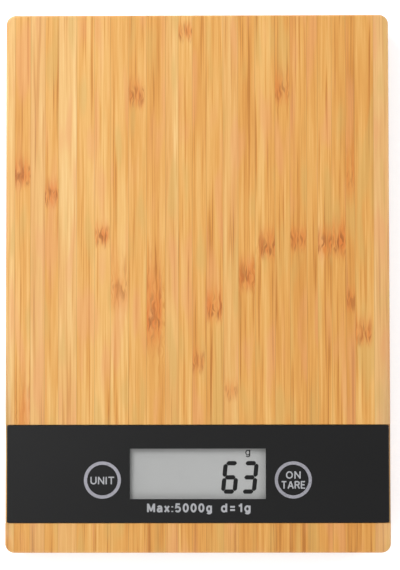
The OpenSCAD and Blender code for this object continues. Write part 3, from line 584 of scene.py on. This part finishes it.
def printText(name, words, body, width, height, stroke, centre, material):
    # block lettering as a thin layer of ink; width, height and stroke in mm
    bm = bmesh.new()
    tall = height - stroke
    gap = stroke * ink["spacing"] / tall
    total = sum(letters[letter][0] for letter in words) + gap * (len(words) - 1)
    stretch = (width - stroke) / total
    left = -(width - stroke) / 2
    for letter in words:
        wide, strokes = letters[letter]
        for number, points in enumerate(strokes):
            path = [(left + px * stretch, (py - 0.5) * tall) for px, py in points]
            inkStroke(bm, path, stroke / 2, ink["thickness"] + number * ink["step"])
        left += (wide + gap) * stretch
    bmesh.ops.scale(bm, vec=(mm, mm, mm), verts=bm.verts)
    bmesh.ops.translate(bm, vec=centre, verts=bm.verts)
    piece = newPiece(name, bm, material, body)


# each label's words, body, width, height and stroke, and its place from the middle of a piece, all in mm
panelPrint = {
    "unitLabel": ("UNIT", "unit_button", 10.2, 3.3, 0.55, unitMiddle, (0, -0.2)),
    "onLabel": ("ON", "tare_button", 6.3, 3.2, 0.55, tareMiddle, (0, 2.1)),
    "tareLabel": ("TARE", "tare_button", 10.2, 3.3, 0.55, tareMiddle, (0, -2.1)),
    "capacityLabel": ("Max:5000g", "platform", 27.6, 3.9, 0.78, panelMiddle, (-7.8, -14.4)),
    "divisionLabel": ("d=1g", "platform", 12.6, 3.9, 0.78, panelMiddle, (16.1, -14.4)),
}
for name, (words, body, width, height, stroke, middle, (x, y)) in panelPrint.items():
    centre = (middle.x + x * mm, middle.y + y * mm, panelTop)
    printText(name, words, body, width, height, stroke, centre, printInk)

figures = {
    "height": 13.9,     # mm, as are the next five
    "width": 6.8,
    "pitch": 8.2,
    "stroke": 1.85,
    "gap": 0.3,         # at each end of a segment
    "point": 0.666,     # what is cut off each corner of a segment
    "slant": 0.1,
    "right": 25.4,      # mm from the panel's middle, as is the next
    "middleY": -1.6,
    "lit": {"6": "acdefg", "3": "abcdg"},
    "gramSize": (2.1, 3.2, 0.42),   # width, height and stroke of the unit sign above the last figure
    "gramPlace": (21.3, 9.3),
}
# a segment's two ends, as shares of the figure's width and height
segments = {
    "a": ((0, 1), (1, 1)), "b": ((1, 1), (1, 0.5)), "c": ((1, 0.5), (1, 0)), "d": ((0, 0), (1, 0)),
    "e": ((0, 0.5), (0, 0)), "f": ((0, 1), (0, 0.5)), "g": ((0, 0.5), (1, 0.5)),
}


def makeFigures(digits):
    # seven-segment figures: pointed bars, leaning a little to the right
    bm = bmesh.new()
    wide = figures["width"] - figures["stroke"]
    tall = figures["height"] - figures["stroke"]
    for place, digit in enumerate(reversed(digits)):
        left = figures["right"] - figures["stroke"] / 2 - wide - place * figures["pitch"]
        for letter in figures["lit"][digit]:
            start, end = [Vector((left + u * wide, (v - 0.5) * tall, 0)) for u, v in segments[letter]]
            bar = bmesh.ops.create_cube(bm, size=1)["verts"]
            length = (end - start).length - figures["gap"] * 2
            bmesh.ops.scale(bm, vec=(length, figures["stroke"], 1), verts=bar)
            edges = dict.fromkeys(edge for vert in bar for edge in vert.link_edges)
            corners = [edge for edge in edges if abs(edge.verts[0].co.z - edge.verts[1].co.z) > 0.5]
            cut = bmesh.ops.bevel(bm, geom=corners, offset=figures["point"], segments=1, profile=0.5,
                                  affect="EDGES", material=-1)
            bar = list(dict.fromkeys(vert for face in cut["faces"] for vert in face.verts))
            turn = Matrix.Rotation((end - start).angle(Vector((1, 0, 0))), 3, "Z")
            bmesh.ops.rotate(bm, cent=(0, 0, 0), matrix=turn, verts=bar)
            bmesh.ops.translate(bm, vec=(start + end) / 2, verts=bar)
    lean = Matrix(((1, figures["slant"], 0, 0), (0, 1, 0, 0), (0, 0, 1, 0), (0, 0, 0, 1)))
    bmesh.ops.transform(bm, matrix=lean, verts=bm.verts)
    bmesh.ops.scale(bm, vec=(mm, mm, ink["thickness"] * mm), verts=bm.verts)
    middle = (0, panelMiddle.y + figures["middleY"] * mm, filmTop + ink["thickness"] / 2 * mm)
    bmesh.ops.translate(bm, vec=middle, verts=bm.verts)
    newPiece("displayFigures", bm, displayInk, "platform")


makeFigures("63")
gramX, gramY = figures["gramPlace"]
gramCentre = (gramX * mm, panelMiddle.y + gramY * mm, filmTop)
printText("gramSign", "g", "platform", *figures["gramSize"], gramCentre, displayInk)
print("lettering and figures made")

flexure = {"start": -1.0, "end": 17.0, "cuts": 12}  # mm along y, between the cell's two pairs of screws


def makeBending(name, node, material):
    # cut into loops across y between its front end, on the base, and its back end, on the platform; the piece
    # is baked in place and attached to neither body
    bm = mergedCopy(node)
    low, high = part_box(node)
    step = (flexure["end"] - flexure["start"]) / flexure["cuts"]
    places = [(flexure["start"] + step * k) * mm for k in range(flexure["cuts"] + 1)]
    cutAcross(bm, 1, [place for place in places if low.y < place < high.y])
    piece = newPiece(name, bm, material)
    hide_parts(node)
    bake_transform(piece)


makeBending("loadCell", "load_cell", aluminium)
makeBending("gaugeSealant", "gauge_sealant", sealant)
makeBending("strainGauges", "strain_gauges", foil)
for button in ("unit", "tare"):
    node = button + "_switch_dome"
    piece = newPiece(button + "Dome", mergedCopy(node), domeSteel, "platform")
    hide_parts(node)
    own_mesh(piece)

studio = {
    "floor": ("#f2f2f2", "#fafafa"),
    "paperMm": 2,               # the floor's faint mottling
    "reach": 1,                 # metres from the middle to each edge of the floor
    "glow": 0.48,               # the floor is lit from below, as a light table is
    "glowColour": "#edf5ff",    # cool, against the warm light that the bamboo throws on the floor
    "horizon": 1.0,             # strength of the sky at the horizon and overhead
    "zenith": 0.04,
    "lamps": [                  # place, size and power
        ((-0.4, 0.05, 1.1), 0.3, 1.0),
        ((-0.55, 0.6, 0.75), 0.5, 6.4),
        ((1.1, 0.3, 1.0), 0.9, 6.0),
        ((-0.3, -1.1, 1.0), 0.9, 6.0),
    ],
}


def makeStudio():
    # a light table, an even sky and square softboxes that face the object
    material, tree, shader = newMaterial("lightTable", Roughness=0.9, Emission_Color=studio["glowColour"],
                                         Emission_Strength=studio["glow"])
    paper = addNode(tree, "TexNoise", millimetres(tree), Scale=1 / studio["paperMm"], Detail=2)
    join(tree, addNode(tree, "MixRGB", paper, *studio["floor"]), shader.inputs["Base Color"])
    # clear from below, so that the underside can be looked at
    under = addNode(tree, "NewGeometry").outputs["Backfacing"]
    join(tree, addNode(tree, "Math", 1.0, under, operation="SUBTRACT"), shader.inputs["Alpha"])
    bm = bmesh.new()
    bmesh.ops.create_grid(bm, x_segments=1, y_segments=1, size=studio["reach"])
    newPiece("floor", bm, material)
    scene.view_settings.view_transform = "Standard"
    scene.world = bpy.data.worlds.new("studio")
    scene.world.use_nodes = True
    sky = scene.world.node_tree
    height = addNode(sky, "SeparateXYZ", addNode(sky, "TexCoord").outputs["Generated"]).outputs[2]
    glow = addNode(sky, "MapRange", height, 0, 1, studio["horizon"], studio["zenith"])
    join(sky, (1, 1, 1, 1), sky.nodes["Background"].inputs["Color"])
    join(sky, glow, sky.nodes["Background"].inputs["Strength"])
    for number, (place, size, power) in enumerate(studio["lamps"]):
        lamp = bpy.data.lights.new(f"softbox{number}", "AREA")
        lamp.size = size
        lamp.energy = power
        holder = bpy.data.objects.new(lamp.name, lamp)
        scene.collection.objects.link(holder)
        holder.location = place
        holder.rotation_euler = (-Vector(place)).to_track_quat("-Z", "Y").to_euler()


makeStudio()

view = {
    "target": (0.00105, -0.0011, 0.019),
    "distance": 0.9,
    "sensor": 36,       # mm
    "lean": 2.7,        # degrees from straight down, towards the front
    "side": 0.6,        # degrees towards the right
    "roll": -0.08,
    "field": 0.1708,    # metres across the picture at the target
}
cameraData = bpy.data.cameras.new("camera")
cameraData.sensor_fit = "HORIZONTAL"
cameraData.sensor_width = view["sensor"]
cameraData.lens = view["sensor"] * view["distance"] / view["field"]
camera = bpy.data.objects.new("camera", cameraData)
scene.collection.objects.link(camera)
lean, side = math.radians(view["lean"]), math.radians(view["side"])
toCamera = Vector((math.sin(side), -math.sin(lean), math.cos(lean))).normalized()
camera.location = Vector(view["target"]) + toCamera * view["distance"]
right = Vector((0, 1, 0)).cross(toCamera).normalized()
turned = Matrix((right, toCamera.cross(right), toCamera)).transposed()
camera.rotation_euler = (Matrix.Rotation(math.radians(view["roll"]), 3, toCamera) @ turned).to_euler()
scene.camera = camera
print("floor, light and camera set")
